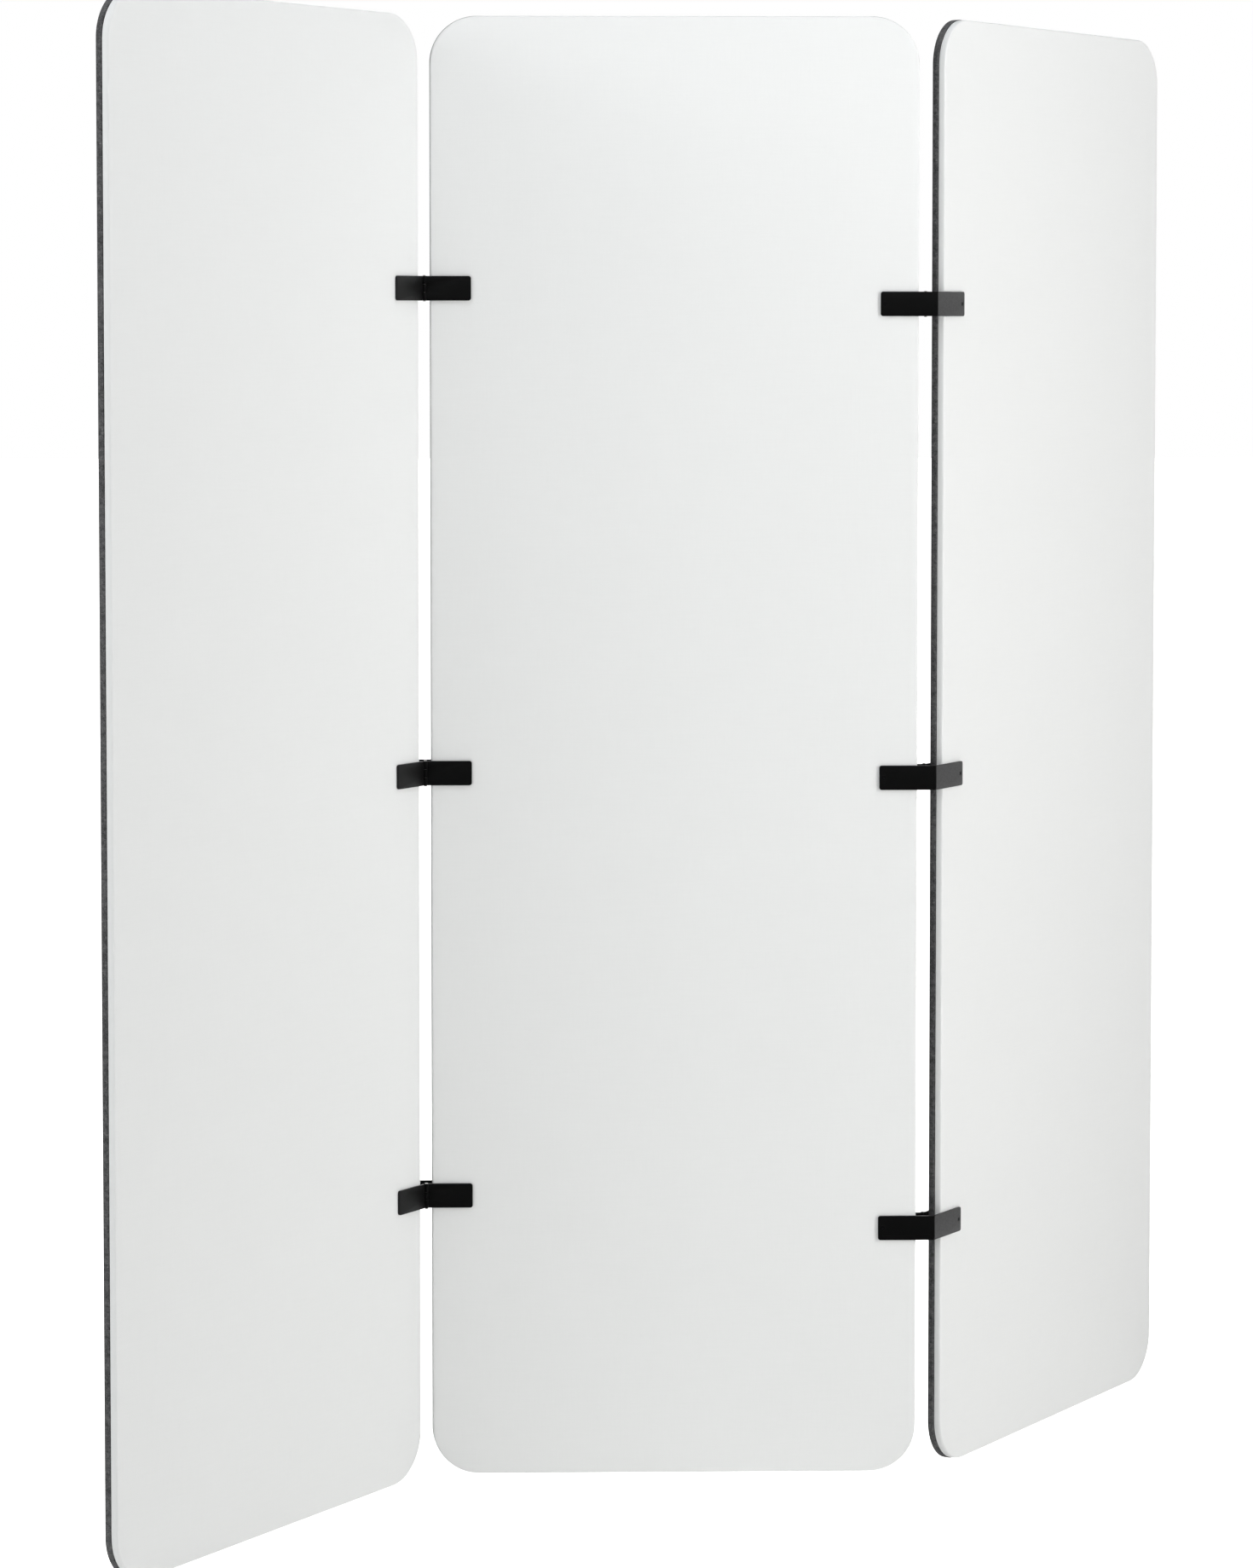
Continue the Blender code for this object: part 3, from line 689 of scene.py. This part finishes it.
def puffed(piece, held, zones):
    # a light air pressure lifts the cover a little between its held edges and the steel
    mesh = piece.data
    rest = [vert.co.copy() for vert in mesh.vertices]
    under = {v.index for v in mesh.vertices
             if any(x0 < v.co.x < x1 and z0 < v.co.z < z1 for x0, x1, z0, z1 in zones)}
    group = piece.vertex_groups.new(name="held")
    group.add(sorted(held | under), 1.0, "REPLACE")
    cloth = piece.modifiers.new("cover", "CLOTH")
    settings = cloth.settings
    settings.quality = 5
    settings.mass = 0.3
    settings.tension_stiffness = settings.compression_stiffness = 15
    settings.shear_stiffness = 5
    settings.bending_stiffness = 0.5
    settings.use_pressure = True
    settings.uniform_pressure_force = fabricPad["pressure"]
    settings.vertex_group_mass = "held"
    settings.effector_weights.gravity = 0
    cloth.collision_settings.use_collision = False
    cloth.point_cache.frame_start, cloth.point_cache.frame_end = 1, fabricPad["frames"]
    scene = bpy.context.scene
    for step in range(1, fabricPad["frames"] + 1):
        scene.frame_set(step)
    graph = bpy.context.evaluated_depsgraph_get()
    risen = [vert.co.copy() for vert in piece.evaluated_get(graph).data.vertices]
    piece.modifiers.clear()
    scene.frame_set(1)
    free = [i for i in range(len(rest)) if i not in held and i not in under]
    rises = {i: rest[i].y - risen[i].y for i in free}
    print("pad rises", round(max(rises.values()) / mm, 2), "mm")
    for i, rise in rises.items():
        mesh.vertices[i].co.y = rest[i].y - min(max(rise, 0.0), fabricPad["mostRise"])
    piece.vertex_groups.clear()


for panel, body in panelBody.items():
    mesh, held = padMesh(panel)
    pad = workPiece("padWork", mesh)
    puffed(pad, held, plateZones(panel))
    rounding = pad.modifiers.new("rounding", "SUBSURF")
    rounding.levels = rounding.render_levels = 1
    pad.data = evaluatedMesh(pad)
    pad.modifiers.clear()
    for x, z in screwMarks(panel):
        cutWith(pad, rod(-drillReach, drillReach, feltBoard["holeRadius"], x=x, z=z, sides=32))
    made = showPiece(f"{panel}_fabric_pad", pad.data, "fabric_white", panelPlace(panel), body,
                     [f"{panel}_panel_fabric_cover", f"{panel}_panel_pad_core"], 60)
    bpy.data.objects.remove(pad)
print("fabric pads made")

studio = {  # metres, degrees and millimetres of lens
    "cameraAt": (-0.19, -5.575, 1.435), "yaw": 1.346, "pitch": 3.15, "lens": 104.28, "shiftY": -0.1395,
    "floorGlow": 0.19, "floorGlowSeen": 1.4, "worldGlow": 0.29, "worldInGloss": 5.6, "floorSize": 40,
}
camera = bpy.data.cameras.new("camera")
camera.sensor_width = 36
camera.lens = studio["lens"]
camera.shift_y = studio["shiftY"]
camera.dof.use_dof = False
cameraPlace = bpy.data.objects.new("camera", camera)
cameraPlace.location = studio["cameraAt"]
cameraPlace.rotation_euler = (radians(90 - studio["pitch"]), 0, radians(-studio["yaw"]))
bpy.context.scene.collection.objects.link(cameraPlace)
bpy.context.scene.camera = cameraPlace

floorMaterial, tree, shader = newMaterial("paleFloor")
shader.inputs["Base Color"].default_value = (0.9, 0.897, 0.888, 1)
shader.inputs["Roughness"].default_value = 0.9
shader.inputs["Specular IOR Level"].default_value = 0.1
shader.inputs["Emission Color"].default_value = (1, 0.998, 0.99, 1)
glow = addMath(tree, "MULTIPLY_ADD", addNode(tree, "ShaderNodeLightPath").outputs["Is Camera Ray"],
               studio["floorGlowSeen"] - studio["floorGlow"], studio["floorGlow"])
tree.links.new(glow, shader.inputs["Emission Strength"])
shape = bmesh.new()
bmesh.ops.create_grid(shape, x_segments=1, y_segments=1, size=studio["floorSize"])
floor = workPiece("floor", meshFrom(shape, "floor"))
floor.data.materials.append(floorMaterial)
floor.visible_glossy = False

world = bpy.data.worlds.new("studio")
world.use_nodes = True
bpy.context.scene.world = world
worldTree = world.node_tree
background = worldTree.nodes["Background"]
direction = addNode(worldTree, "ShaderNodeTexCoord").outputs["Generated"]
brightSide = (0.25, 0.9, 0.25)  # behind the screen and a little up
towards = addNode(worldTree, "ShaderNodeVectorMath", {0: direction, 1: brightSide},
                  operation="DOT_PRODUCT").outputs["Value"]
gradient = rangeValue(worldTree, towards, 0.0, 0.6, 0.0, studio["worldGlow"])
rays = addNode(worldTree, "ShaderNodeLightPath")
glossy = addMath(worldTree, "MULTIPLY_ADD", rays.outputs["Is Glossy Ray"], studio["worldInGloss"] - 1, 1.0)
lit = addMath(worldTree, "MULTIPLY", gradient, glossy)
strength = addMath(worldTree, "MAXIMUM", lit, rays.outputs["Is Camera Ray"])
worldTree.links.new(strength, background.inputs["Strength"])
background.inputs["Color"].default_value = (1, 1, 1, 1)

softLights = {  # metres and watts
    "frontLeft": {
        "at": (-3.0, -3.6, 2.2), "aim": (0, 0, 0.9), "size": (2.4, 3.0),
        "power": 62, "tint": (0.985, 1.0, 1.0),
    },
    "frontRight": {
        "at": (2.6, -3.8, 2.4), "aim": (0, 0, 0.9), "size": (2.4, 3.0),
        "power": 8, "tint": (1.0, 1.0, 0.985),
    },
    "leftMid": {
        "at": (-3.6, -2.0, 1.6), "aim": (0, 0, 0.9), "size": (1.5, 2.5),
        "power": 8, "tint": (0.985, 1.0, 1.0),
    },
    "leftHigh": {
        "at": (-3.6, -0.9, 3.0), "aim": (0, 0, 0.9), "size": (1.5, 1.5),
        "power": 30, "tint": (0.97, 0.99, 1.01),
    },
    "rightNear": {
        "at": (2.2, -1.4, 1.5), "aim": (0.2, -0.1, 0.9), "size": (1.0, 2.4),
        "power": 34, "tint": (1.0, 1.0, 0.99),
    },
    "rightMid": {
        "at": (4.0, -2.2, 1.6), "aim": (0, 0, 0.9), "size": (1.5, 2.5),
        "power": 13, "tint": (1.0, 1.0, 0.99),
    },
    "topNear": {
        "at": (0.2, -0.8, 3.2), "aim": (0, 0, 0.9), "size": (3.0, 1.2),
        "power": 20, "tint": (0.96, 0.99, 1.02), "gleam": True,
    },
}
for name, light in softLights.items():
    lamp = bpy.data.lights.new(name, "AREA")
    lamp.shape = "RECTANGLE"
    lamp.size, lamp.size_y = light["size"]
    lamp.energy = light["power"]
    lamp.color = light["tint"]
    lampPlace = bpy.data.objects.new(name, lamp)
    lampPlace.location = light["at"]
    towardsAim = Vector(light["aim"]) - Vector(light["at"])
    lampPlace.rotation_euler = towardsAim.to_track_quat("-Z", "Y").to_euler()
    lampPlace.visible_glossy = light.get("gleam", False)
    lampPlace.visible_camera = False
    bpy.context.scene.collection.objects.link(lampPlace)

bpy.context.scene.view_settings.view_transform = "Standard"
bpy.context.view_layer.update()
